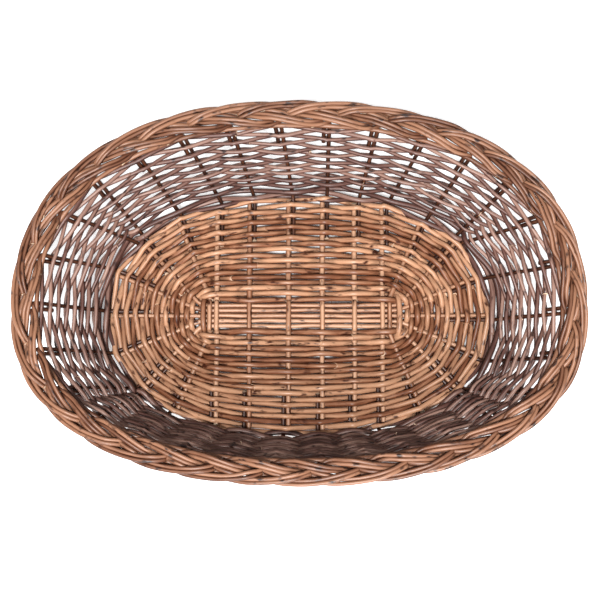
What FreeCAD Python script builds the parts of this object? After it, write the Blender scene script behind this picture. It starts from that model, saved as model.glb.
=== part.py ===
"""Oval willow fruit basket, woven from round rods.

The base is an oval slath: five long sticks threaded through eight split cross sticks, opened out into
twenty-six rays and woven with nineteen rounds.  Thirty side stakes lie beside the rays, turn up at the base
edge, carry one round of three-rod wale and sixteen rows of paired weaving, and are laid down at the top
with a bye-stake each into a plait border: a pair of rods to a strand, four strands abreast.  The wall flares
out, and more so at the back (+Y) than at the front, so the rim is a little egg-shaped round a base that is a
true oval.

Frame: +X along the length, +Y to the back, +Z up; the origin is under the middle of the base, on the floor.
Units are millimetres.
"""
import FreeCAD, Part
import math
import os
from FreeCAD import Vector

# ---------------------------------------------------------------- driving dimensions
DIMENSIONS = [
    ("rim_half_length", 214.0, "plait centre line, along X"),
    ("rim_back_width", 153.8, "plait centre line, from the long axis to the back"),
    ("rim_front_width", 126.2, "plait centre line, from the long axis to the front"),
    ("foot_half_length", 164.0, "stake line at the base edge, along X"),
    ("foot_half_width", 103.1, "stake line at the base edge, along Y"),
    ("edge_inset", 3.1, "woven base edge inside the stake line"),
    ("oval_power", 2.3, "superellipse power of every oval"),
    ("long_stick_dia", 3.8, "five long base sticks"),
    ("long_stick_pitch", 4.4, "spacing of the long sticks in the slath"),
    ("cross_stick_dia", 4.7, "eight split cross sticks"),
    ("slath_half_length", 84.5, "where the long sticks open out"),
    ("slath_half_width", 11.0, "half width of the split in a cross stick"),
    ("split_run", 3.8, "length over which a split closes"),
    ("split_thickness", 2.2, "each half of a split cross stick, over the long sticks"),
    ("base_rod_dia", 3.8, "base weavers"),
    ("base_first_round", 0.6, "first round inside the root of the rays"),
    ("stake_dia", 3.2, "side stakes"),
    ("stake_tail", 33.0, "stake length laid in beside its base stick"),
    ("bye_stake_step", 4.5, "from a stake to its bye-stake"),
    ("wall_rod_dia", 3.2, "wall weavers and wale rods"),
    ("wale_first_height", 8.6, "height of the lowest wale rod"),
    ("wale_pitch", 3.35, "rise from one wale rod to the next"),
    ("wale_lift", 2.2, "rise of a wale rod where it passes inside a stake"),
    ("wall_first_height", 21.0, "height of the lowest wall row"),
    ("wall_low_pitch", 3.3, "rise from one wall row to the next, at the bottom"),
    ("wall_high_pitch", 4.6, "rise from one wall row to the next, at the top"),
    ("plait_height", 88.8, "plait centre height"),
    ("plait_rod_gap", 3.4, "spacing of the two rods of a strand"),
    ("clearance", 0.2, "gap between rods that touch"),
]
CROSS_STICK_X = [-77.0, -71.0, -43.0, -9.5, 19.5, 47.0, 71.0, 77.0]
LONG_STICKS = 5
ROUNDS_IN_WEAVER = [4, 3, 3, 3, 3, 3]
BASE_ROUNDS = sum(ROUNDS_IN_WEAVER)
TIED_ROUNDS = 2          # rounds that bind the slath before the sticks are opened out
TIED_OVERHANG = 2.8      # a tied round turns down this far beyond the last stick of a group
STAKES = 30
WALE_RODS = 3
WALL_ROWS = 16
BYE_STAKE_ROWS = 4       # rows at the top where a bye-stake stands beside each stake
PLAIT_ROUTE = [          # a strand's way through the plait: stake spacings along it, outward, up
    (0.05, -4.0, -2.5), (0.20, -6.2, -1.8), (0.35, -7.5, -0.5), (0.55, -7.4, 1.9), (0.80, -6.0, 3.9),
    (1.20, -3.0, 3.9), (1.40, -1.4, 2.3), (1.60, 0.3, 0.0), (1.75, 1.9, -1.6), (2.00, 4.9, -2.7),
    (2.25, 7.1, -1.5), (2.60, 7.6, 0.9), (3.00, 6.7, 2.6), (3.35, 4.9, 4.4), (3.60, 2.7, 4.6),
    (3.75, 1.1, 3.2), (3.90, -0.6, 0.8)]
ELBOW_RADIUS = 4.0
ROD_BEND = 14.0
STRAND_BEND = 40.0
END_GAP = 0.8            # half the gap between the two cut ends of one round
STRAIGHT_ENOUGH = math.radians(0.5)
LONGEST_REACH = 0.45     # of the shorter run, so that two arcs never meet
FITTING_STEPS = 8

doc = FreeCAD.newDocument("willow_basket")


def make_sheet():
    """The spreadsheet that holds the driving dimensions."""
    sheet = doc.addObject("Spreadsheet::Sheet", "dims")
    for row, (alias, value, note) in enumerate(DIMENSIONS, start=1):
        sheet.set("A%d" % row, note)
        sheet.set("B%d" % row, str(value))
        sheet.setAlias("B%d" % row, alias)
    doc.recompute()
    return {alias: float(sheet.get(alias)) for alias, _, _ in DIMENSIONS}


size = make_sheet()
STICK_LEVEL = size["cross_stick_dia"] / 2 + size["clearance"] + size["base_rod_dia"]   # centre of the sticks
UP = Vector(0, 0, 1)


# ---------------------------------------------------------------- ovals
class Oval:
    """A superellipse measured along its length, counter-clockwise from +X; its two halves may differ."""

    SAMPLES = 1440

    def __init__(self, half_length, back_width, front_width):
        self.half_length = half_length
        self.back_width = back_width
        self.front_width = front_width
        self.power = size["oval_power"]
        self.points = [self.at_angle(2 * math.pi * i / self.SAMPLES) for i in range(self.SAMPLES + 1)]
        self.lengths = [0.0]
        for before, after in zip(self.points, self.points[1:]):
            self.lengths.append(self.lengths[-1] + (after - before).Length)
        self.perimeter = self.lengths[-1]
        self.back_length = self.lengths[self.SAMPLES // 2]

    def half_width(self, y):
        return self.back_width if y > 0 else self.front_width

    def at_angle(self, angle):
        """The point at an eccentric angle."""
        c, s = math.cos(angle), math.sin(angle)
        x = self.half_length * math.copysign(abs(c) ** (2 / self.power), c)
        y = self.half_width(s) * math.copysign(abs(s) ** (2 / self.power), s)
        return Vector(x, y, 0)

    def at(self, distance):
        """The point at a distance along the oval."""
        distance %= self.perimeter
        low, high = 0, self.SAMPLES
        while high - low > 1:
            middle = (low + high) // 2
            if self.lengths[middle] <= distance:
                low = middle
            else:
                high = middle
        span = self.lengths[high] - self.lengths[low]
        share = (distance - self.lengths[low]) / span
        return self.points[low] + (self.points[high] - self.points[low]) * share

    def distance_at(self, share):
        """The distance along the oval at a share of the way round, where the back half counts as one half."""
        share %= 1
        if share < 0.5:
            return 2 * share * self.back_length
        return self.back_length + (2 * share - 1) * (self.perimeter - self.back_length)

    def outward(self, distance):
        """The unit normal that points out of the oval, at a distance along it."""
        step = 2.0
        along = self.at(distance + step) - self.at(distance - step)
        return Vector(along.y, -along.x, 0).normalize()

    def distance_to(self, point):
        """The distance along the oval of its sample nearest to a point."""
        nearest = min(range(self.SAMPLES), key=lambda i: (self.points[i] - point).Length)
        return self.lengths[nearest]

    def crossing(self, start, along):
        """The point where a line that starts inside the oval leaves it."""
        low, high = 0.0, self.half_length
        while high - low > 1e-6:
            middle = (low + high) / 2
            x, y, _ = start + along * middle
            level = abs(x / self.half_length) ** self.power + abs(y / self.half_width(y)) ** self.power
            if level < 1:
                low = middle
            else:
                high = middle
        return start + along * low

    def side_point(self, x, side):
        """The point of the oval at x on the +Y side (side 1) or the -Y side (side -1)."""
        y = self.half_width(side) * (1 - abs(x / self.half_length) ** self.power) ** (1 / self.power)
        return Vector(x, side * y, 0)


def base_oval(inset):
    """The stake line at the base edge, or an oval inside it."""
    half_width = size["foot_half_width"] - inset
    return Oval(size["foot_half_length"] - inset, half_width, half_width)


foot_oval = base_oval(0)
edge_oval = base_oval(size["edge_inset"])
rim_oval = Oval(size["rim_half_length"], size["rim_back_width"], size["rim_front_width"])


# ---------------------------------------------------------------- rods
def corner_arc(before, corner, after, bend):
    """Start, middle and end of the arc that rounds a corner, or None where the route is straight."""
    into = corner - before
    out = after - corner
    shorter = min(into.Length, out.Length)
    into.normalize()
    out.normalize()
    turn = into.getAngle(out)
    if turn < STRAIGHT_ENOUGH:
        return None
    reach = min(bend * math.tan(turn / 2), LONGEST_REACH * shorter)
    radius = reach / math.tan(turn / 2)
    inward = (out - into).normalize()
    middle = corner + inward * (radius / math.cos(turn / 2) - radius)
    return corner - into * reach, middle, corner + out * reach


def corners_through(targets, bends):
    """Corners moved outwards until the arcs that round them pass through the targets."""
    corners = list(targets)
    for _ in range(FITTING_STEPS):
        moved = list(corners)
        for i in range(1, len(targets) - 1):
            arc = corner_arc(corners[i - 1], corners[i], corners[i + 1], bends[i])
            if arc:
                moved[i] = corners[i] + (targets[i] - arc[1])
        corners = moved
    return corners


def rounded_wire(corners, bends):
    """Straight runs joined by tangent arcs inside the corners."""
    edges = []
    here = corners[0]
    for i in range(1, len(corners) - 1):
        arc = corner_arc(corners[i - 1], corners[i], corners[i + 1], bends[i])
        if arc is None:
            continue
        start, middle, end = arc
        edges.append(Part.LineSegment(here, start).toShape())
        edges.append(Part.Arc(start, middle, end).toShape())
        here = end
    edges.append(Part.LineSegment(here, corners[-1]).toShape())
    return Part.Wire(edges)


def rod(name, points, diameter_alias, bends):
    """A round rod swept along a route; its radius is bound to the sheet."""
    route = doc.addObject("Part::Feature", name + "_route")
    route.Shape = rounded_wire(points, bends)
    section = doc.addObject("Part::Circle", name + "_section")
    section.setExpression("Radius", "dims.%s / 2" % diameter_alias)
    along = points[1] - points[0]
    section.Placement = FreeCAD.Placement(points[0], FreeCAD.Rotation(UP, along))
    sweep = doc.addObject("Part::Sweep", name)
    sweep.Sections = [section]
    sweep.Spine = (route, [])
    sweep.Solid = True
    sweep.Frenet = False
    return sweep


def weaver(name, targets, diameter_alias, bend):
    """A rod woven through a row of sticks; its arcs touch the targets beside the sticks."""
    bends = [bend] * len(targets)
    return rod(name, corners_through(targets, bends), diameter_alias, bends)


def group(name, members):
    """Several separate rods in one node."""
    compound = doc.addObject("Part::Compound", name)
    compound.Links = members
    return compound


def open_ring(vertices, first):
    """A closed run of vertices, cut in the run after vertex number first to leave two rod ends."""
    order = vertices[first + 1:] + vertices[:first + 1]
    middle = (order[0] + order[-1]) * 0.5
    along = (order[0] - order[-1]).normalize()
    return [middle + along * END_GAP] + order + [middle - along * END_GAP]


# ---------------------------------------------------------------- base sticks
class Ray:
    """One end of a base stick, from the slath to the base edge, with the stakes laid in beside it."""

    def __init__(self, root, tip, radius):
        self.root = root
        self.tip = tip
        self.radius = radius
        self.along = (tip - root).normalize()
        self.side = Vector(-self.along.y, self.along.x, 0)   # counter-clockwise side
        self.stake_sides = [-1]

    def crossing_offsets(self, from_tip):
        """Sideways places of the sticks that a weaver crosses here: the ray, and the stakes beside it."""
        offsets = [0.0]
        if from_tip < size["stake_tail"] + size["stake_dia"] / 2:
            offsets += [side * self.beside() for side in self.stake_sides]
        return sorted(offsets)

    def beside(self):
        """Distance from the ray's centre line to that of a stake laid in beside it."""
        return self.radius + size["stake_dia"] / 2 + size["clearance"]


def make_rays():
    """The twenty-six rays, counter-clockwise from the middle of the +X end."""
    count_ends = LONG_STICKS + 2
    inner = CROSS_STICK_X[-2]
    corner_distance = edge_oval.distance_to(edge_oval.side_point(inner, 1))
    spacing = 2 * corner_distance / (count_ends + 1)
    root_y = size["slath_half_width"] + size["split_run"]
    cross_radius = size["cross_stick_dia"] / 2
    rays = {}
    for end in (1, -1):
        base_distance = 0.0 if end == 1 else edge_oval.perimeter / 2
        for step in range(-3, 4):
            tip = edge_oval.at(base_distance + step * spacing)
            if abs(step) == 3:
                side = 1 if tip.y > 0 else -1
                root = Vector(end * abs(CROSS_STICK_X[0]), side * root_y, 0)
                radius = cross_radius
            else:
                root = Vector(end * size["slath_half_length"], end * step * size["long_stick_pitch"], 0)
                radius = size["long_stick_dia"] / 2
            rays[(end, step)] = Ray(root, tip, radius)
            if abs(step) == 2:
                rays[(end, step)].stake_sides = [-1, 1]
    for x in CROSS_STICK_X[1:-1]:
        for side in (1, -1):
            root = Vector(x, side * root_y, 0)
            rays[(x, side)] = Ray(root, edge_oval.side_point(x, side), cross_radius)
    order = [(1, step) for step in range(0, 4)]
    order += [(x, 1) for x in reversed(CROSS_STICK_X[1:-1])]
    order += [(-1, step) for step in range(-3, 4)]
    order += [(x, -1) for x in CROSS_STICK_X[1:-1]]
    order += [(1, step) for step in range(-3, 0)]
    return [rays[key] for key in order], rays


rays, ray_at = make_rays()


def lifted(point, height):
    return Vector(point.x, point.y, height)


def long_stick(number):
    """A long base stick: straight through the slath, opened out to the edge at both ends."""
    step = number - (LONG_STICKS - 1) // 2
    right = ray_at[(1, step)]
    left = ray_at[(-1, -step)]
    points = [left.tip, left.root, right.root, right.tip]
    points = [lifted(p, STICK_LEVEL) for p in points]
    bends = [ROD_BEND] * len(points)
    return rod("base_long_stick_%d" % (number + 1), points, "long_stick_dia", bends)


def cross_stick(number):
    """A cross stick: a rod that swells where it is split, with a slot that the long sticks pass through."""
    x = CROSS_STICK_X[number]
    name = "base_cross_stick_%d" % (number + 1)
    outer = number in (0, len(CROSS_STICK_X) - 1)
    end = 1 if x > 0 else -1
    front, back = [ray_at[(end, 3 * side * end)] if outer else ray_at[(x, side)] for side in (-1, 1)]
    points = [lifted(p, STICK_LEVEL) for p in (front.tip, front.root, back.root, back.tip)]
    whole = rod(name + "_rod", points, "cross_stick_dia", [ROD_BEND] * len(points))

    swelling = doc.addObject("Part::Ellipsoid", name + "_swelling")
    swelling.setExpression("Radius1", "dims.long_stick_dia / 2 + dims.split_thickness")
    swelling.setExpression("Radius2", "dims.cross_stick_dia / 2 + dims.clearance")
    swelling.setExpression("Radius3", "dims.slath_half_width + dims.split_run")
    swelling.Placement.Base = Vector(x, 0, STICK_LEVEL)

    slot = doc.addObject("Part::Box", name + "_slot")
    slot.setExpression("Length", "dims.cross_stick_dia * 2")
    slot.setExpression("Width", "dims.slath_half_width * 2")
    slot.setExpression("Height", "dims.long_stick_dia + dims.clearance")
    corner = Vector(size["cross_stick_dia"], size["slath_half_width"], 0)
    drop = UP * (size["long_stick_dia"] + size["clearance"]) / 2
    slot.Placement.Base = Vector(x, 0, STICK_LEVEL) - corner - drop

    swollen = doc.addObject("Part::Fuse", name + "_swollen")
    swollen.Base = whole
    swollen.Tool = swelling
    stick = doc.addObject("Part::Cut", name)
    stick.Base = swollen
    stick.Tool = slot
    return stick


# ---------------------------------------------------------------- base weaving
def base_units(round_number):
    """The groups of neighbouring rays that a round passes over or under together."""
    if round_number > TIED_ROUNDS:
        return [[i] for i in range(len(rays))]
    end = list(range(24, 26)) + list(range(0, 3))
    return [end, [3, 4], [5], [6], [7], [8], [9, 10], list(range(11, 16)), [16, 17],
            [18], [19], [20], [21], [22, 23]]


def base_round(round_number):
    """The route of one round of the base, over one unit and under the next."""
    vertices = []
    opened = 1 if round_number > TIED_ROUNDS else 0
    weaver_radius = size["base_rod_dia"] / 2
    first = size["base_first_round"]
    for index, unit in enumerate(base_units(round_number)):
        sign = 1 if (index + round_number + opened) % 2 == 0 else -1
        for place in sorted({0, len(unit) - 1}):
            ray = rays[unit[place]]
            length = (ray.tip - ray.root).Length
            share = (round_number - 1) / (BASE_ROUNDS - 1)
            reach = (length - weaver_radius) * share - first * (1 - share)
            centre = ray.root + ray.along * reach
            height = STICK_LEVEL + sign * (ray.radius + weaver_radius + size["clearance"])
            if len(unit) > 1:
                centre += ray.side * (TIED_OVERHANG if place else -TIED_OVERHANG)
            for offset in ray.crossing_offsets(length - reach):
                vertices.append(lifted(centre + ray.side * offset, height))
    return vertices


def base_weaver(number):
    """One node of base weaving: rounds that lie next to each other."""
    rods = []
    bend = size["cross_stick_dia"] / 2 + size["base_rod_dia"] / 2 + size["clearance"]
    first_round = sum(ROUNDS_IN_WEAVER[:number]) + 1
    for round_number in range(first_round, first_round + ROUNDS_IN_WEAVER[number]):
        vertices = base_round(round_number)
        opening = round_number * 7 % len(vertices)
        route = open_ring(vertices, opening)
        rods.append(weaver("base_round_%02d" % round_number, route, "base_rod_dia", bend))
    return group("base_weaver_%d" % (number + 1), rods)


# ---------------------------------------------------------------- stakes and border
class Stake:
    """A side stake: tail in the base, elbow at the base edge, straight wall, then its place in the plait."""

    def __init__(self, ray, side):
        beside = ray.side * side * ray.beside()
        self.tail = ray.tip - ray.along * size["stake_tail"] + beside
        self.foot = foot_oval.crossing(self.tail, ray.along)
        self.foot_share = foot_oval.distance_to(self.foot) / foot_oval.perimeter

    def place_top(self, share):
        """Sets where the stake meets the plait, as a share of the way round the rim."""
        self.rim_share = share
        self.top = self.plait_route(-1)[0]
        self.axis = (self.top - lifted(self.foot, STICK_LEVEL)).normalize()

    def plait_route(self, lane):
        """The way through the plait of the stake (lane -1, inner) or of its bye-stake (lane 1, outer)."""
        route = []
        for spacings, outward, up in PLAIT_ROUTE:
            share = self.rim_share + (spacings - PLAIT_ROUTE[0][0]) / STAKES
            distance = rim_oval.distance_at(share)
            swing = outward + lane * size["plait_rod_gap"] / 2
            point = rim_oval.at(distance) + rim_oval.outward(distance) * swing
            route.append(lifted(point, size["plait_height"] + up))
        return route

    def at_height(self, height):
        """The stake's centre at a height on the wall."""
        share = (height - STICK_LEVEL) / (self.top.z - STICK_LEVEL)
        return lifted(self.foot + (self.top - self.foot) * share, height)


def make_stakes():
    """The thirty stakes, counter-clockwise, each with its foot beside a ray and its top on the rim."""
    stakes = [Stake(ray, side) for ray in rays for side in ray.stake_sides]
    if stakes[0].foot_share > 0.5:
        stakes = stakes[1:] + stakes[:1]
    shift = sum(s.foot_share - (n + 0.5) / STAKES for n, s in enumerate(stakes)) / STAKES
    for number, stake in enumerate(stakes):
        stake.place_top((number + 0.5) / STAKES + shift)
    return stakes


stakes = make_stakes()


def upright_rod(name, upright, plait):
    """A rod that stands in the wall and is then laid down into the plait."""
    bends = [ELBOW_RADIUS] * (len(upright) + 1) + [STRAND_BEND] * (len(plait) - 1)
    return rod(name, upright + plait, "stake_dia", bends)


def side_stake(number):
    """A side stake from its tail in the base to its cut end in the plait."""
    stake = stakes[number]
    upright = [lifted(stake.tail, STICK_LEVEL), lifted(stake.foot, STICK_LEVEL)]
    return upright_rod("side_stake_%02d" % (number + 1), upright, stake.plait_route(-1))


# ---------------------------------------------------------------- wall weaving
def row_height(row):
    """The height of a wall row; the rows open out a little towards the rim."""
    low, high = size["wall_low_pitch"], size["wall_high_pitch"]
    return size["wall_first_height"] + row * (low + (high - low) * row / (2 * (WALL_ROWS - 1)))


def along_wall(i, height):
    """The direction of the wall past stake i, counter-clockwise, at a height."""
    return (stakes[(i + 1) % STAKES].at_height(height) - stakes[i - 1].at_height(height)).normalize()


def wall_vertices(height, is_outside, with_bye_stakes=False):
    """The route round the wall at a height; is_outside(i) says on which side of stake i it passes."""
    offset = size["stake_dia"] / 2 + size["wall_rod_dia"] / 2 + size["clearance"]
    vertices = []
    for i, stake in enumerate(stakes):
        along = along_wall(i, height)
        outward = along.cross(stake.axis).normalize()
        beside = stake.at_height(height) + outward * offset * (1 if is_outside(i) else -1)
        vertices.append(beside)
        if with_bye_stakes:
            vertices.append(beside + along * size["bye_stake_step"])
    return vertices


def upsett_wale():
    """The three-rod wale at the foot of the wall: each rod passes outside two stakes and inside one."""
    rods = []
    for index in range(WALE_RODS):
        low = size["wale_first_height"] + index * size["wale_pitch"]
        outside = wall_vertices(low, lambda i: True)
        inside = wall_vertices(low + size["wale_lift"], lambda i: False)
        vertices = [inside[i] if (i + index) % 3 == 0 else outside[i] for i in range(STAKES)]
        route = open_ring(vertices, index * 5)
        rods.append(weaver("wale_rod_%d" % (index + 1), route, "wall_rod_dia", ROD_BEND))
    return group("upsett_wale", rods)


def wall_weaver(number):
    """A chasing pair of wall weavers: one passes outside the odd stakes, the other outside the even ones."""
    rods = []
    for k in range(2):
        row = number * 2 + k
        beside = row >= WALL_ROWS - BYE_STAKE_ROWS
        vertices = wall_vertices(row_height(row), lambda i: (i + row) % 2 == 0, beside)
        opening = row * 3 % STAKES
        if beside:
            opening = 2 * opening + 1
        route = open_ring(vertices, opening)
        rods.append(weaver("wall_row_%02d" % (row + 1), route, "wall_rod_dia", ROD_BEND))
    return group("wall_weaver_%d" % (number + 1), rods)


def bye_stakes():
    """Thirty short rods that stand beside the stakes in the top rows and go with them into the plait."""
    first_row = WALL_ROWS - BYE_STAKE_ROWS
    low = (row_height(first_row) + row_height(first_row - 1)) / 2
    high = row_height(WALL_ROWS - 1) + size["wall_rod_dia"] / 2
    step = size["bye_stake_step"]
    rods = []
    for i, stake in enumerate(stakes):
        upright = [stake.at_height(height) + along_wall(i, height) * step for height in (low, high)]
        rods.append(upright_rod("bye_stake_%02d" % (i + 1), upright, stake.plait_route(1)[1:]))
    return group("bye_stakes", rods)


# ---------------------------------------------------------------- build and write
def build_nodes():
    nodes = [long_stick(n) for n in range(LONG_STICKS)]
    nodes += [cross_stick(n) for n in range(len(CROSS_STICK_X))]
    nodes += [base_weaver(n) for n in range(len(ROUNDS_IN_WEAVER))]
    nodes += [side_stake(n) for n in range(STAKES)]
    nodes.append(upsett_wale())
    nodes += [wall_weaver(n) for n in range(WALL_ROWS // 2)]
    nodes.append(bye_stakes())
    return nodes


def write_nodes(nodes):
    """Checks every object and writes each node's STEP file."""
    doc.recompute()
    failed = [o.Name for o in doc.Objects if "Invalid" in o.State or "Error" in o.State]
    if failed:
        raise RuntimeError("objects that failed: %s" % failed)
    os.makedirs("parts", exist_ok=True)
    for old in os.listdir("parts"):
        os.remove(os.path.join("parts", old))
    for node in nodes:
        if node.Shape.isNull() or not node.Shape.isValid() or not node.Shape.Solids:
            raise RuntimeError("%s has no valid solid" % node.Label)
        node.Shape.exportStep("parts/%s.step" % node.Label)
    print("%d nodes, %d solids" % (len(nodes), sum(len(n.Shape.Solids) for n in nodes)))


write_nodes(build_nodes())
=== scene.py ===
"""Looks of the oval willow fruit basket: every rod is a tapered, slightly crooked tube with its bark on.

Metres, in the frame's own axes: +X along the basket, +Y to the back, +Z up.
"""

import bpy
import math
import numpy as np
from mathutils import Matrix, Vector


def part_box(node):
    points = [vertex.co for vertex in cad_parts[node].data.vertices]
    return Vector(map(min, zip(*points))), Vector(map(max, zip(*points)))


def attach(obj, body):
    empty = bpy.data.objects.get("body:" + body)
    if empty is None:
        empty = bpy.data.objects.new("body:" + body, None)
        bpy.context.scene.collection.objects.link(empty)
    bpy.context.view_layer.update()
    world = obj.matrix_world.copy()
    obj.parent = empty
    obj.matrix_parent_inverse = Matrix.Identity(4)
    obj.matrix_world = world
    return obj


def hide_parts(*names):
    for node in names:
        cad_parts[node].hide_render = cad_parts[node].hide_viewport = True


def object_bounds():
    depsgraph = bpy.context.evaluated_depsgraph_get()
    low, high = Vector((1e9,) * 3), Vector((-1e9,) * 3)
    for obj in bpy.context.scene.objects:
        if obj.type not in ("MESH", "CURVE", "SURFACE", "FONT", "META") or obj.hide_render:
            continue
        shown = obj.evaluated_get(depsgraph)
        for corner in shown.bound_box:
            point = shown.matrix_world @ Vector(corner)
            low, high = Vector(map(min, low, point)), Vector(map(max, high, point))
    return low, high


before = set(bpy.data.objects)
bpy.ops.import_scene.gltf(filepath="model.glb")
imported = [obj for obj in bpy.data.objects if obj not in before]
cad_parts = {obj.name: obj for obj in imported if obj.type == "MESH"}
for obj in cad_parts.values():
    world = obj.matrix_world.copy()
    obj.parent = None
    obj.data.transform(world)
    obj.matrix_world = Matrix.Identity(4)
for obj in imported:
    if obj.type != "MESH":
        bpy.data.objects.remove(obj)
cad_bounds = [list(corner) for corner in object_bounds()]

MM = 0.001
random = np.random.default_rng(17)

# ---------------------------------------------------------------- what the frame holds
LONG_STICKS = 5
CROSS_STICKS = 8
ROUNDS_IN_WEAVER = [4, 3, 3, 3, 3, 3]
TIED_ROUNDS = 2
STAKES = 30
WALE_RODS = 3
WALL_WEAVERS = 8
BYE_STAKE_ROWS = 4
BASE_ROUNDS = sum(ROUNDS_IN_WEAVER)
WALL_ROWS = 2 * WALL_WEAVERS


def box(node):
    """Lowest and highest corner of a CAD node."""
    low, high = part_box(node)
    return np.array(low), np.array(high)


def middle(node):
    return sum(box(node)) / 2


# base sticks
stick_low, stick_high = box("base_long_stick_3")
cross_low, cross_high = box("base_cross_stick_4")
LEVEL = (stick_low[2] + stick_high[2]) / 2
LONG_DIA = stick_high[2] - stick_low[2]
CROSS_DIA = cross_high[0] - cross_low[0]
EDGE_LENGTH = stick_high[0]
EDGE_WIDTH = cross_high[1]
PITCH = 1.158 * LONG_DIA
SLATH_LENGTH = 0.525 * EDGE_LENGTH
SLATH_WIDTH = LONG_STICKS * PITCH / 2
SPLIT_RUN = 0.8 * CROSS_DIA
SPLIT_THICKNESS = 0.47 * CROSS_DIA
CROSS_X = [middle("base_cross_stick_%d" % n)[0] for n in range(2, CROSS_STICKS)]
OUTER_CROSS_X = box("base_cross_stick_8")[0][0] + CROSS_DIA / 2

# base weaving, wall and border
BASE_ROD = LEVEL - CROSS_DIA / 2 - 0.2 * MM
FIRST_ROUND_INSET = 0.6 * MM    # first round inside the root of the rays
LAST_ROUND_OUTSET = 0.4 * MM    # last round beyond the tip of the rays
TIED_OVERHANG = 2.8 * MM        # a tied round turns down this far beyond the last stick of a group
PRESSED = 0.3 * MM              # how far a base rod presses into its stick
EDGE_INSET = 3.1 * MM           # woven edge of the base inside the line of the stakes
STAKE_DIA = 3.2 * MM
STAKE_TAIL = 33 * MM
BYE_STAKE_STEP = 4.1 * MM
WALL_ROD = 3.2 * MM
WALE_ROD = 4.5 * MM
WALE_LIFT = 2.2 * MM            # rise of a wale rod where it passes inside a stake
PLAIT_REACH = 10.9 * MM
PLAIT_HEIGHT = cad_bounds[1][2] - 6.2 * MM
RIM_LENGTH = cad_bounds[1][0] - PLAIT_REACH
RIM_BACK = cad_bounds[1][1] - PLAIT_REACH
RIM_FRONT = -cad_bounds[0][1] - PLAIT_REACH

# round sections and ovals
SIDES = 10
TURN = 2 * math.pi * np.arange(SIDES) / SIDES
STEP = 2.6 * MM
OVAL_POWER = 2.3
OVAL_SAMPLES = 1440

# painted light and shade: each rod is painted paler on its top and underside than on its flanks
PAINTED_SHADING = 0.8
UNDERSIDE_PAINTED_LIGHT = 0.8
FLANK_PAINTED_SHADE = 0.65


# ---------------------------------------------------------------- curves
def unit(vectors):
    return vectors / np.linalg.norm(vectors, axis=-1, keepdims=True)


class Oval:
    """A superellipse, counter-clockwise from +X; its back half may be wider than its front half."""

    def __init__(self, length, back, front):
        angle = np.linspace(0, 2 * math.pi, OVAL_SAMPLES + 1)
        c, s = np.cos(angle), np.sin(angle)
        x = length * np.sign(c) * abs(c) ** (2 / OVAL_POWER)
        y = np.where(s > 0, back, front) * np.sign(s) * abs(s) ** (2 / OVAL_POWER)
        self.points = np.stack([x, y], axis=1)
        steps = np.linalg.norm(np.diff(self.points, axis=0), axis=1)
        walked = np.concatenate([[0], np.cumsum(steps)])
        half, whole = walked[OVAL_SAMPLES // 2], walked[-1]
        self.shares = np.where(walked <= half, walked / half / 2, 0.5 + (walked - half) / (whole - half) / 2)

    def at(self, share):
        """Points at shares of the way round, where each half counts as one half."""
        share = np.mod(share, 1)
        return np.stack([np.interp(share, self.shares, self.points[:, k]) for k in (0, 1)], axis=-1)

    def outward(self, share):
        along = self.at(np.add(share, 0.002)) - self.at(np.subtract(share, 0.002))
        return unit(np.stack([along[..., 1], -along[..., 0]], axis=-1))

    def share_of(self, point):
        """Share of the sample nearest to a point."""
        return self.shares[np.argmin(np.linalg.norm(self.points[:-1] - point, axis=1))]

    def side_y(self, x, side):
        """The y at which the oval passes x, on the back (side 1) or the front (side -1)."""
        half = self.points[self.points[:, 1] * side >= 0]
        order = np.argsort(half[:, 0])
        return np.interp(x, half[order, 0], half[order, 1])

    def crossing(self, start, along):
        """The point where a line that starts inside leaves the oval."""
        reach = np.linspace(0, 60 * MM, 2000)
        line = start + reach[:, None] * along
        gaps = [np.min(np.linalg.norm(self.points - p, axis=1)) for p in line[::20]]
        return line[20 * int(np.argmin(gaps))]


def spline(points, closed=False, step=STEP):
    """Points along a smooth curve through the given ones, about a step apart."""
    p = np.asarray(points, dtype=float)
    if closed:
        p = np.vstack([p[-1], p, p[0], p[1]])
    else:
        p = np.vstack([2 * p[0] - p[1], p, 2 * p[-1] - p[-2]])
    pieces = []
    for a, b, c, d in zip(p, p[1:], p[2:], p[3:]):
        count = max(1, round(float(np.linalg.norm(c - b)) / step))
        u = np.arange(count)[:, None] / count
        cubic = 2 * b + (c - a) * u + (2 * a - 5 * b + 4 * c - d) * u ** 2 + (3 * b - a - 3 * c + d) * u ** 3
        pieces.append(cubic / 2)
    if not closed:
        pieces.append(p[-2][None])
    return np.vstack(pieces)


def softened(corners, step=STEP, passes=4):
    """Straight runs between corners that are rounded a little."""
    p = np.asarray(corners, dtype=float)
    pieces = []
    for a, b in zip(p, p[1:]):
        count = max(2, round(float(np.linalg.norm(b - a)) / step))
        pieces.append(a + (b - a) * np.arange(count)[:, None] / count)
    path = np.vstack(pieces + [p[-1:]])
    for _ in range(passes):
        path[1:-1] = (path[:-2] + 2 * path[1:-1] + path[2:]) / 4
    return path


def wander(count, spacing, size):
    """A smooth random drift of a given size, in three directions, for a path of count points."""
    knots = max(4, count // spacing + 3)
    values = random.normal(0, size, (knots, 3))
    at = np.linspace(1, knots - 2.001, count)
    k = at.astype(int)
    u = (at - k)[:, None]
    u = u * u * (3 - 2 * u)
    return values[k] * (1 - u) + values[k + 1] * u


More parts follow.
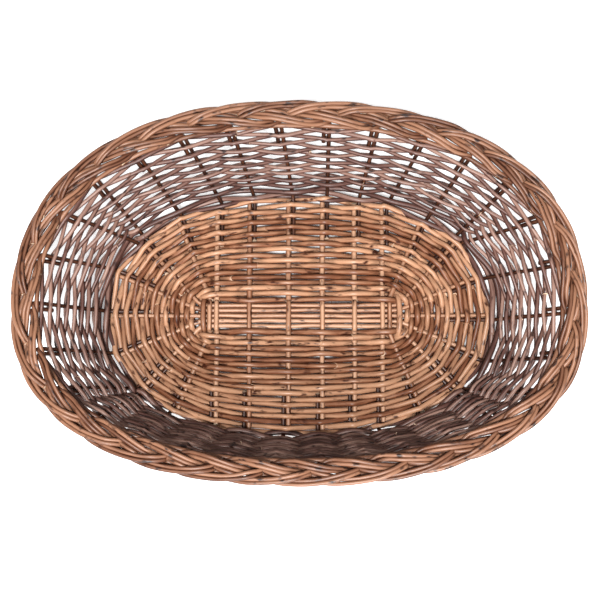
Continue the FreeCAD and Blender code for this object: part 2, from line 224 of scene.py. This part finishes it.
# ---------------------------------------------------------------- tubes and pieces
class Bundle:
    """Round rods gathered into one piece; their bark is painted paler on top and below than on their sides,
    as painted light and shade.
    """

    def __init__(self):
        self.points = []
        self.grain = []
        self.tone = []
        self.quads = []
        self.quad_uvs = []
        self.caps = []
        self.count = 0

    def rod(self, path, diameter, butt=1.0, tip=1.0, tone=None, crooked=0.25 * MM, slant=0.5):
        """Adds a rod along a path, thicker at its butt than at its tip, with a slanting cut at each end."""
        n = len(path)
        path = path + wander(n, 7, crooked)
        swell = 1 + wander(n, 9, 0.035)[:, :1]
        radius = diameter / 2 * np.linspace(butt, tip, n)[:, None] * swell
        start = random.uniform(0, 50)
        if tone is None:
            tone = random.uniform(0, 1)
        walked = np.concatenate([[0], np.cumsum(np.linalg.norm(np.diff(path, axis=0), axis=1))])
        grain = np.empty((n, SIDES, 3))
        grain[:, :, 0] = radius * np.cos(TURN)
        grain[:, :, 1] = radius * np.sin(TURN)
        grain[:, :, 2] = (walked + start)[:, None]
        # painted light and shade: a painted highlight on each rod's top, painted light on its underside and
        # painted shade on its flanks
        painted_light_and_shade = PAINTED_SHADING * (np.maximum(np.sin(TURN), -UNDERSIDE_PAINTED_LIGHT * np.sin(TURN)) - FLANK_PAINTED_SHADE)
        tones = np.broadcast_to(np.reshape(tone, (-1, 1)) + painted_light_and_shade, (n, SIDES))
        self.points.append(self.tube(path, radius, slant * diameter / 2))
        self.grain.append(grain.reshape(-1, 3))
        self.tone.append(tones.reshape(-1))
        self.add_faces(walked)
        self.count += n * SIDES

    def tube(self, path, radius, slant):
        """The points of rings round a path; the end rings lean by a slant, so that the cuts face up."""
        along = unit(np.gradient(path, axis=0))
        up = unit(np.array([0.0, 0.0, 1.0]) - along * along[:, 2:3])
        side = np.cross(along, up)
        c, s = np.cos(TURN)[None, :, None], np.sin(TURN)[None, :, None]
        ring = side[:, None, :] * c + up[:, None, :] * s
        points = path[:, None, :] + ring * radius[:, :, None]
        points[0] += along[0] * slant * s[0]
        points[-1] -= along[-1] * slant * s[0]
        return points.reshape(-1, 3)

    def add_faces(self, walked):
        """The faces between the rings of one rod, with their bark coordinates, and its two cut ends."""
        n = len(walked)
        row = np.arange(n - 1)[:, None] * SIDES
        j = np.arange(SIDES)[None, :]
        k = (j + 1) % SIDES
        quads = np.stack([row + j, row + k, row + SIDES + k, row + SIDES + j], axis=-1)
        self.quads.append(quads.reshape(-1, 4) + self.count)
        u0 = np.broadcast_to(j / SIDES, (n - 1, SIDES))
        u1 = u0 + 1 / SIDES
        v0 = np.broadcast_to(walked[:-1, None], (n - 1, SIDES))
        v1 = np.broadcast_to(walked[1:, None], (n - 1, SIDES))
        corners = [(u0, v0), (u1, v0), (u1, v1), (u0, v1)]
        uv = np.stack([np.stack(pair, axis=-1) for pair in corners], axis=2)
        self.quad_uvs.append(uv.reshape(-1, 2))
        first = np.arange(SIDES)[::-1] + self.count
        last = np.arange(SIDES) + self.count + (n - 1) * SIDES
        self.caps += [first, last]

    def mesh(self, name, bark):
        """One mesh of all the rods: bark on the sides, cut wood on the ends."""
        quads = np.vstack(self.quads)
        caps = np.vstack(self.caps)
        loops = np.concatenate([quads.reshape(-1), caps.reshape(-1)])
        quad_starts = np.arange(len(quads)) * 4
        starts = np.concatenate([quad_starts, len(quads) * 4 + np.arange(len(caps)) * SIDES])
        mesh = bpy.data.meshes.new(name)
        mesh.vertices.add(self.count)
        mesh.vertices.foreach_set("co", np.vstack(self.points).reshape(-1))
        mesh.loops.add(len(loops))
        mesh.loops.foreach_set("vertex_index", loops)
        mesh.polygons.add(len(starts))
        mesh.polygons.foreach_set("loop_start", starts)
        mesh.update(calc_edges=True)
        is_cap = np.arange(len(starts)) >= len(quads)
        mesh.polygons.foreach_set("use_smooth", ~is_cap)
        mesh.polygons.foreach_set("material_index", is_cap.astype(int))
        uv = mesh.uv_layers.new(name="UVMap")
        disc = np.stack([np.cos(np.arange(SIDES)), np.sin(np.arange(SIDES))], axis=1) * MM
        uvs = np.vstack(self.quad_uvs + [disc] * len(caps))
        uv.data.foreach_set("uv", uvs.reshape(-1))
        grain = mesh.attributes.new("grain", "FLOAT_VECTOR", "POINT")
        grain.data.foreach_set("vector", np.vstack(self.grain).reshape(-1))
        # the tone attribute holds each rod's own tone plus the painted light and shade of its top, underside
        # and flanks
        tone = mesh.attributes.new("tone", "FLOAT", "POINT")
        tone.data.foreach_set("value", np.concatenate(self.tone))
        mesh.materials.append(bark)
        mesh.materials.append(cut_wood)
        mesh.validate()
        return mesh

    def piece(self, name, bark):
        """Makes the piece, in the root body, in place of the CAD node of the same name."""
        obj = bpy.data.objects.new(name, self.mesh(name, bark))
        bpy.context.scene.collection.objects.link(obj)
        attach(obj, "root")
        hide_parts(name)


# ---------------------------------------------------------------- materials
def stretched_noise(tree, place, stretch, detail, roughness):
    """Noise that is drawn out along the rods, at the places that a node gives."""
    mapping = tree.nodes.new("ShaderNodeMapping")
    mapping.inputs["Scale"].default_value = stretch
    noise = tree.nodes.new("ShaderNodeTexNoise")
    noise.inputs["Scale"].default_value = 1.0
    noise.inputs["Detail"].default_value = detail
    noise.inputs["Roughness"].default_value = roughness
    tree.links.new(place.outputs["Vector"], mapping.inputs["Vector"])
    tree.links.new(mapping.outputs["Vector"], noise.inputs["Vector"])
    return noise


def willow(name, shades, roughness):
    """Bark: streaks and small scars along the rod, on a shade that differs from rod to rod."""
    material = bpy.data.materials.new(name)
    material.use_nodes = True
    nodes, links = material.node_tree.nodes, material.node_tree.links
    shader = nodes["Principled BSDF"]
    shader.inputs["Roughness"].default_value = roughness
    shader.inputs["Specular IOR Level"].default_value = 0.38

    grain = nodes.new("ShaderNodeAttribute")
    grain.attribute_name = "grain"
    streaks = stretched_noise(material.node_tree, grain, (700, 700, 60), 4, 0.6)
    blotches = stretched_noise(material.node_tree, grain, (260, 260, 110), 2, 0.5)

    # tone: each rod's own shade plus painted light on its top and underside and painted shade on its flanks
    tone = nodes.new("ShaderNodeAttribute")
    tone.attribute_name = "tone"
    mixed = nodes.new("ShaderNodeMath")
    mixed.operation = "MULTIPLY_ADD"
    mixed.inputs[1].default_value = 0.9
    links.new(streaks.outputs["Fac"], mixed.inputs[0])
    lowered = nodes.new("ShaderNodeMath")
    lowered.operation = "MULTIPLY_ADD"
    lowered.inputs[1].default_value = 0.75
    lowered.inputs[2].default_value = -0.32
    links.new(tone.outputs["Fac"], lowered.inputs[0])
    links.new(lowered.outputs["Value"], mixed.inputs[2])

    ramp = nodes.new("ShaderNodeValToRGB")
    elements = ramp.color_ramp.elements
    while len(elements) < len(shades):
        elements.new(0.5)
    for element, (place, colour) in zip(elements, shades):
        element.position = place
        element.color = (*colour, 1)
    links.new(mixed.outputs["Value"], ramp.inputs["Fac"])

    spots = nodes.new("ShaderNodeMapRange")
    spots.inputs["From Min"].default_value = 0.60
    spots.inputs["From Max"].default_value = 0.72
    links.new(blotches.outputs["Fac"], spots.inputs["Value"])
    scarred = nodes.new("ShaderNodeMix")
    scarred.data_type = "RGBA"
    scarred.inputs["B"].default_value = (*shades[0][1], 1)
    links.new(ramp.outputs["Color"], scarred.inputs["A"])
    links.new(spots.outputs["Result"], scarred.inputs["Factor"])
    links.new(scarred.outputs["Result"], shader.inputs["Base Color"])

    bump = nodes.new("ShaderNodeBump")
    bump.inputs["Strength"].default_value = 0.35
    bump.inputs["Distance"].default_value = 0.3 * MM
    links.new(streaks.outputs["Fac"], bump.inputs["Height"])
    links.new(bump.outputs["Normal"], shader.inputs["Normal"])
    return material


def plain(name, colour, roughness):
    material = bpy.data.materials.new(name)
    material.use_nodes = True
    shader = material.node_tree.nodes["Principled BSDF"]
    shader.inputs["Base Color"].default_value = (*colour, 1)
    shader.inputs["Roughness"].default_value = roughness
    return material


cut_wood = plain("cut_willow", (0.72, 0.52, 0.36), 0.7)
stick_bark = willow("stick_bark", [(0.1, (0.060, 0.017, 0.007)), (0.45, (0.225, 0.086, 0.041)),
                                   (0.9, (0.52, 0.29, 0.175))], 0.38)
weaver_bark = willow("weaver_bark", [(0.1, (0.055, 0.014, 0.006)), (0.45, (0.190, 0.068, 0.031)),
                                     (0.9, (0.49, 0.26, 0.150))], 0.36)
stake_bark = willow("stake_bark", [(0.1, (0.022, 0.007, 0.004)), (0.45, (0.104, 0.035, 0.016)),
                                   (0.9, (0.295, 0.140, 0.080))], 0.38)
wall_bark = willow("wall_bark", [(0.1, (0.026, 0.009, 0.007)), (0.45, (0.108, 0.045, 0.034)),
                                 (0.9, (0.320, 0.188, 0.145))], 0.38)

# ---------------------------------------------------------------- layout of the base
edge_oval = Oval(EDGE_LENGTH, EDGE_WIDTH, EDGE_WIDTH)
foot_oval = Oval(EDGE_LENGTH + EDGE_INSET, EDGE_WIDTH + EDGE_INSET, EDGE_WIDTH + EDGE_INSET)
rim_oval = Oval(RIM_LENGTH, RIM_BACK, RIM_FRONT)


def at_height(point, height):
    return np.array([point[0], point[1], height])


class Ray:
    """One end of a base stick, from the slath to the base edge."""

    def __init__(self, root, tip, dia, stake_sides=(-1,)):
        self.root = np.array(root)
        self.tip = np.array(tip)
        self.dia = dia
        self.along = unit(self.tip - self.root)
        self.side = np.array([-self.along[1], self.along[0]])
        self.stake_sides = stake_sides
        self.length = float(np.linalg.norm(self.tip - self.root))

    def beside(self):
        return (self.dia + STAKE_DIA) / 2 + 0.2 * MM


def make_rays():
    """The twenty-six rays, counter-clockwise from the middle of the +X end, and the same rays by stick."""
    root_y = SLATH_WIDTH + SPLIT_RUN
    corner = np.array([CROSS_X[-1], edge_oval.side_y(CROSS_X[-1], 1)])
    spacing = edge_oval.share_of(corner) * 2 / (LONG_STICKS + 3)
    by_stick = {}
    for end in (1, -1):
        for step in range(-3, 4):
            tip = edge_oval.at((0 if end == 1 else 0.5) + step * spacing)
            if abs(step) == 3:
                root = (end * OUTER_CROSS_X, math.copysign(root_y, tip[1]))
                by_stick[end, step] = Ray(root, tip, CROSS_DIA)
            else:
                root = (end * SLATH_LENGTH, end * step * PITCH)
                sides = (-1, 1) if abs(step) == 2 else (-1,)
                by_stick[end, step] = Ray(root, tip, LONG_DIA, sides)
    for x in CROSS_X:
        for side in (1, -1):
            by_stick[x, side] = Ray((x, side * root_y), (x, edge_oval.side_y(x, side)), CROSS_DIA)
    order = [(1, step) for step in range(4)] + [(x, 1) for x in reversed(CROSS_X)]
    order += [(-1, step) for step in range(-3, 4)] + [(x, -1) for x in CROSS_X]
    order += [(1, step) for step in range(-3, 0)]
    return [by_stick[key] for key in order], by_stick


rays, ray_at = make_rays()


# ---------------------------------------------------------------- base
def long_sticks():
    for number in range(LONG_STICKS):
        step = number - (LONG_STICKS - 1) // 2
        right, left = ray_at[1, step], ray_at[-1, -step]
        corners = [left.tip, left.root, right.root, right.tip]
        path = softened([at_height(p, LEVEL) for p in corners])
        bundle = Bundle()
        bundle.rod(path, LONG_DIA, 1.06, 0.98, random.uniform(0.5, 0.9), 0.18 * MM)
        name = "base_long_stick_%d" % (number + 1)
        bundle.piece(name, stick_bark)


def cross_sticks():
    """Each cross stick is split where the long sticks pass through it: two arms and two flat halves."""
    places = [-OUTER_CROSS_X] + CROSS_X + [OUTER_CROSS_X]
    for number, x in enumerate(places):
        outer = number in (0, CROSS_STICKS - 1)
        end = 1 if x > 0 else -1
        front, back = [ray_at[(end, 3 * side * end)] if outer else ray_at[(x, side)] for side in (-1, 1)]
        lift = (LONG_DIA + SPLIT_THICKNESS) / 2
        bundle = Bundle()
        tone = random.uniform(0.35, 0.9)
        for over in (1, -1):
            points = [at_height(front.root - [0, -0.5 * SPLIT_RUN], LEVEL + over * lift * 0.25)]
            for share in (-0.95, -0.5, 0, 0.5, 0.95):
                points.append(np.array([x, share * SLATH_WIDTH, LEVEL + over * lift]))
            points.append(at_height(back.root + [0, -0.5 * SPLIT_RUN], LEVEL + over * lift * 0.25))
            path = spline(points)
            bundle.rod(path, CROSS_DIA * 0.9, tone=tone, crooked=0.05 * MM)
        for ray in (front, back):
            inner = ray.root - ray.along * SPLIT_RUN * 0.6
            points = [at_height(p, LEVEL) for p in (inner, ray.root, (ray.root + ray.tip) / 2, ray.tip)]
            bundle.rod(spline(points), CROSS_DIA, 1.05, 0.92, tone=tone, crooked=0.15 * MM)
        name = "base_cross_stick_%d" % (number + 1)
        bundle.piece(name, stick_bark)


def ray_groups(round_number):
    """The groups of neighbouring rays that a round passes over or under together."""
    if round_number > TIED_ROUNDS:
        return [[i] for i in range(len(rays))]
    return [[24, 25, 0, 1, 2], [3, 4], [5], [6], [7], [8], [9, 10], [11, 12, 13, 14, 15], [16, 17],
            [18], [19], [20], [21], [22, 23]]


def base_round(round_number):
    """The control points of one round of the base, over one group and under the next."""
    points = []
    opened = 1 if round_number > TIED_ROUNDS else 0
    for index, group in enumerate(ray_groups(round_number)):
        sign = 1 if (index + round_number + opened) % 2 == 0 else -1
        for place in sorted({0, len(group) - 1}):
            ray = rays[group[place]]
            share = (round_number - 1) / (BASE_ROUNDS - 1)
            reach = (ray.length + LAST_ROUND_OUTSET) * share - FIRST_ROUND_INSET * (1 - share)
            reach += random.normal(0, 0.35 * MM)
            centre = ray.root + ray.along * reach
            height = LEVEL + sign * ((ray.dia + BASE_ROD) / 2 - PRESSED)
            if len(group) > 1:
                centre = centre + ray.side * (TIED_OVERHANG if place else -TIED_OVERHANG)
            offsets = [0.0]
            if ray.length - reach < STAKE_TAIL:
                offsets += [side * ray.beside() for side in ray.stake_sides]
            for offset in sorted(offsets):
                points.append(at_height(centre + ray.side * offset, height))
    return points


def lay_rods(bundle, path, diameter, rods, butt, tip, lap, tones, crooked):
    """Lays several rods end to end along a closed path, each lapping the next a little."""
    n = len(path)
    start = random.uniform(0, n)
    cuts = start + np.arange(rods) * n / rods + random.uniform(-0.12, 0.12, rods) * n / rods
    cuts = np.sort(cuts.astype(int) % n)
    for a, b in zip(cuts, np.append(cuts[1:], cuts[0] + n)):
        index = np.arange(a, b + lap) % n
        bundle.rod(path[index], diameter, butt, tip, random.uniform(*tones), crooked)


def base_weavers():
    first = 1
    for number, rounds in enumerate(ROUNDS_IN_WEAVER):
        bundle = Bundle()
        for round_number in range(first, first + rounds):
            share = (round_number - 1) / (BASE_ROUNDS - 1)
            path = spline(base_round(round_number), closed=True)
            diameter = BASE_ROD * (1.34 - 0.12 * share)
            rods = 1 if round_number <= ROUNDS_IN_WEAVER[0] else 2
            lay_rods(bundle, path, diameter, rods, 1.08, 0.9, 2, (0.1, 0.9), 0.22 * MM)
        first += rounds
        name = "base_weaver_%d" % (number + 1)
        bundle.piece(name, weaver_bark)


# ---------------------------------------------------------------- stakes and border
PLAIT_ROUTE = np.array([
    # a strand's way through the plait: stake spacings along it, then millimetres outward and up
    (0.05, -4.0, -2.5), (0.20, -6.2, -1.8), (0.35, -7.5, -0.5), (0.55, -7.4, 1.9), (0.80, -6.0, 3.9),
    (1.20, -3.0, 3.9), (1.40, -1.4, 2.3), (1.60, 0.3, 0.0), (1.75, 1.9, -1.6), (2.00, 4.9, -2.7),
    (2.25, 7.1, -1.5), (2.60, 7.6, 0.9), (3.00, 6.7, 2.6), (3.35, 4.9, 4.4), (3.60, 2.7, 4.6),
    (3.75, 1.1, 3.2), (3.90, -0.6, 0.8)])
SHORT_ROUTES = [
    # a short rod's way in under the border past a stake, up between the strands, to a cut end
    np.array([(0.12, -5.6, -6.2), (0.35, -5.2, -5.0), (0.60, -4.2, -3.2), (0.80, -2.3, -0.8),
              (1.00, 0.3, 1.6), (1.20, 1.9, 2.5), (1.40, 3.6, 1.4)]),
    # another's way along the inner side of the wall, under the inner edge of the border
    np.array([(0.35, -7.4, -7.0), (0.55, -8.3, -5.2), (0.80, -8.8, -3.6), (1.00, -8.8, -2.8),
              (1.20, -8.6, -3.6), (1.40, -8.0, -4.8)])]
LANE_GAP = 3.0 * MM


class Stake:
    """A side stake: tail beside a base stick, elbow at the base edge, wall, then its place in the plait."""

    def __init__(self, ray, side):
        beside = ray.side * side * ray.beside()
        self.tail = ray.tip - ray.along * STAKE_TAIL + beside
        self.foot = foot_oval.crossing(self.tail, ray.along)
        self.foot_share = foot_oval.share_of(self.foot)

    def place_top(self, share):
        self.rim_share = share
        self.top = self.plait_points(-1, PLAIT_ROUTE)[0]

    def plait_points(self, lane, route):
        """The way through the plait of the stake (lane -1) or of its bye-stake (lane 1)."""
        share = self.rim_share + (route[:, 0] - PLAIT_ROUTE[0, 0]) / STAKES
        swing = route[:, 1] * MM + lane * LANE_GAP / 2
        xy = rim_oval.at(share) + rim_oval.outward(share) * swing[:, None]
        return np.column_stack([xy, PLAIT_HEIGHT + route[:, 2] * MM])


def make_stakes():
    stakes = [Stake(ray, side) for ray in rays for side in ray.stake_sides]
    if stakes[0].foot_share > 0.5:
        stakes = stakes[1:] + stakes[:1]
    shift = sum(s.foot_share - (n + 0.5) / STAKES for n, s in enumerate(stakes)) / STAKES
    for number, stake in enumerate(stakes):
        stake.place_top((number + 0.5) / STAKES + shift)
    return stakes


stakes = make_stakes()
FEET = np.array([at_height(s.foot, LEVEL) for s in stakes])
TOPS = np.array([s.top for s in stakes])


def upright_rod(bundle, upright, plait, wall_tone_and_painted_shade, end_tone):
    """A rod that stands in the wall and is then laid down into the plait."""
    plait = plait + random.normal(0, 0.2 * MM, plait.shape)
    wall = softened(list(upright) + [plait[0]], passes=3)
    path = np.vstack([wall[:-1], spline(plait)])
    path[1:-1] = (path[:-2] + 2 * path[1:-1] + path[2:]) / 4
    # painted shade: the rod is darker where it stands in the wall, paler where it lies in the border
    border = np.clip((np.arange(len(path)) - len(wall)) / 6 + 0.5, 0, 1)
    bundle.rod(path, STAKE_DIA, 1.10, 1.04, wall_tone_and_painted_shade + (end_tone - wall_tone_and_painted_shade) * border, 0.12 * MM)


def upright_tones():
    """How pale an upright rod is in the wall and in the border; it is painted darker in the wall, as painted
    shade between the wall rows.
    """
    return random.uniform(-0.15, 0.1), random.uniform(0.3, 1)


def short_rods(bundle, stake):
    """Short rods that fill the plait beside a stake, with long slanting cuts at their ends."""
    for route in SHORT_ROUTES:
        shifted = route + [random.normal(0, 0.03), 0, 0]
        path = spline(stake.plait_points(0, shifted))
        bundle.rod(path, STAKE_DIA, 1.2, 1.15, random.uniform(0.3, 0.9), 0.1 * MM, slant=2.2)


def side_stakes():
    for number, stake in enumerate(stakes):
        upright = [at_height(stake.tail, LEVEL), at_height(stake.foot, LEVEL)]
        bundle = Bundle()
        upright_rod(bundle, upright, stake.plait_points(-1, PLAIT_ROUTE), *upright_tones())
        name = "side_stake_%02d" % (number + 1)
        bundle.piece(name, stake_bark)


# ---------------------------------------------------------------- wall
def on_wall(s, height):
    """Points of the wall's middle surface, its direction round the basket, and its outward normal."""
    s = np.atleast_1d(np.asarray(s, dtype=float))
    feet = on_loop(FEET, s)
    tops = on_loop(TOPS, s)
    share = (height - LEVEL) / (tops[:, 2:3] - LEVEL)
    points = feet + (tops - feet) * share
    ahead = on_loop(FEET, s + 0.5) * (1 - share) + on_loop(TOPS, s + 0.5) * share
    behind = on_loop(FEET, s - 0.5) * (1 - share) + on_loop(TOPS, s - 0.5) * share
    along = unit(ahead - behind)
    outward = unit(np.cross(along, unit(tops - feet)))
    return points, along, outward


def on_loop(points, s):
    """Points on the closed smooth curve through one point for each stake."""
    k = np.floor(s).astype(int)
    u = (s - k)[:, None]
    a, b, c, d = [points[(k + shift) % STAKES] for shift in (-1, 0, 1, 2)]
    return (2 * b + (c - a) * u + (2 * a - 5 * b + 4 * c - d) * u ** 2 + (3 * b - a - 3 * c + d) * u ** 3) / 2


def wall_row(height, sides, beside=False, lift=0.0, inset=0.0):
    """The closed path of one wall row; sides[i] is 1 where it passes outside stake i, -1 inside.

    It rises by lift where it passes inside, and lies an inset nearer to the base all the way.
    """
    offset = (STAKE_DIA + WALL_ROD) / 2
    points = []
    for i, side in enumerate(sides):
        z = height + random.normal(0, 0.4 * MM) + (lift if side < 0 else 0)
        centre, along, outward = [v[0] for v in on_wall(i, z)]
        points.append(centre + outward * (offset * side - inset))
        if beside:
            points.append(points[-1] + along * BYE_STAKE_STEP)
    return spline(points, closed=True)


def wall_weavers():
    centres = [middle("wall_weaver_%d" % (n + 1))[2] for n in range(WALL_WEAVERS)]
    pitches = np.gradient(centres) / 2
    for number in range(WALL_WEAVERS):
        bundle = Bundle()
        for k in range(2):
            row = 2 * number + k
            height = centres[number] + (k - 0.5) * pitches[number]
            sides = [1 if (i + row) % 2 == 0 else -1 for i in range(STAKES)]
            path = wall_row(height, sides, row >= WALL_ROWS - BYE_STAKE_ROWS)
            lay_rods(bundle, path, WALL_ROD, 3, 1.22, 0.98, 2, (0.15, 0.85), 0.35 * MM)
        name = "wall_weaver_%d" % (number + 1)
        bundle.piece(name, wall_bark)


def wale():
    low, high = box("upsett_wale")
    first = low[2] + WALL_ROD / 2 - 0.6 * MM
    pitch = (high[2] - low[2] - WALL_ROD - 2.0 * MM - WALE_LIFT) / (WALE_RODS - 1)
    bundle = Bundle()
    for k in range(WALE_RODS):
        sides = [-1 if (i + k) % 3 == 0 else 1 for i in range(STAKES)]
        path = wall_row(first + k * pitch, sides, lift=WALE_LIFT, inset=1.2 * MM)
        lay_rods(bundle, path, WALE_ROD, 2, 1.1, 0.95, 2, (0.1, 0.8), 0.25 * MM)
    bundle.piece("upsett_wale", wall_bark)


def bye_stakes():
    low = box("bye_stakes")[0][2] + 2 * MM
    high = PLAIT_HEIGHT - 6.5 * MM
    bundle = Bundle()
    for i, stake in enumerate(stakes):
        upright = []
        for height in (low, high):
            centre, along, _ = [v[0] for v in on_wall(i, height)]
            upright.append(centre + along * BYE_STAKE_STEP)
        upright_rod(bundle, upright, stake.plait_points(1, PLAIT_ROUTE)[1:], *upright_tones())
        short_rods(bundle, stake)
    bundle.piece("bye_stakes", stake_bark)


long_sticks()
cross_sticks()
base_weavers()
side_stakes()
wall_weavers()
wale()
bye_stakes()


# ---------------------------------------------------------------- floor, light and camera
def area_light(name, place, target, size, power):
    data = bpy.data.lights.new(name, "AREA")
    data.size = size
    data.energy = power
    light = bpy.data.objects.new(name, data)
    light.location = place
    light.rotation_euler = (Vector(target) - Vector(place)).to_track_quat("-Z", "Y").to_euler()
    bpy.context.scene.collection.objects.link(light)


def lit_floor():
    """A pale floor that glows like a light table, except under the basket's foot: painted light that lifts
    the basket's shadows on the floor around it.
    """
    material = plain("pale_floor", (0.92, 0.92, 0.92), 0.9)
    nodes, links = material.node_tree.nodes, material.node_tree.links
    shader = nodes["Principled BSDF"]
    shader.inputs["Emission Color"].default_value = (1, 1, 1, 1)
    place = nodes.new("ShaderNodeTexCoord")
    scaled = nodes.new("ShaderNodeMapping")
    scaled.inputs["Scale"].default_value = (1 / EDGE_LENGTH, 1 / EDGE_WIDTH, 1)
    distance = nodes.new("ShaderNodeVectorMath")
    distance.operation = "LENGTH"
    # painted light: the glow is off under the basket's foot and rises to full strength a little beyond it
    glow = nodes.new("ShaderNodeMapRange")
    glow.inputs["From Min"].default_value = 1.0
    glow.inputs["From Max"].default_value = 1.15
    glow.inputs["To Max"].default_value = 0.5
    links.new(place.outputs["Object"], scaled.inputs["Vector"])
    links.new(scaled.outputs["Vector"], distance.inputs[0])
    links.new(distance.outputs["Value"], glow.inputs["Value"])
    links.new(glow.outputs["Result"], shader.inputs["Emission Strength"])
    return material


FLOOR_HALF = 20
floor_mesh = bpy.data.meshes.new("floor")
FLOOR_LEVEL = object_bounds()[0][2]
corners = [(x * FLOOR_HALF, y * FLOOR_HALF, FLOOR_LEVEL) for x, y in ((-1, -1), (1, -1), (1, 1), (-1, 1))]
floor_mesh.from_pydata(corners, [], [(0, 1, 2, 3)])
floor = bpy.data.objects.new("floor", floor_mesh)
floor_mesh.materials.append(lit_floor())
bpy.context.scene.collection.objects.link(floor)

world = bpy.data.worlds.new("studio")
world.use_nodes = True
world.node_tree.nodes["Background"].inputs["Color"].default_value = (1, 1, 1, 1)
world.node_tree.nodes["Background"].inputs["Strength"].default_value = 0.43
bpy.context.scene.world = world
bpy.context.scene.view_settings.view_transform = "Standard"
area_light("key", (-0.15, -0.50, 1.9), (0, 0, 0.05), 0.3, 44)
area_light("front", (0, -1.5, 1.3), (0, 0.08, 0.04), 0.8, 34)

TARGET = Vector((0.0004, 0.0062, PLAIT_HEIGHT))
DISTANCE = 0.776
ELEVATION = math.radians(85)
camera_data = bpy.data.cameras.new("camera")
camera_data.lens = 60
camera_data.sensor_width = 36
camera = bpy.data.objects.new("camera", camera_data)
away = Vector((0, -math.cos(ELEVATION), math.sin(ELEVATION)))
camera.location = TARGET + away * DISTANCE
camera.rotation_euler = (-away).to_track_quat("-Z", "Y").to_euler()
bpy.context.scene.collection.objects.link(camera)
bpy.context.scene.camera = camera
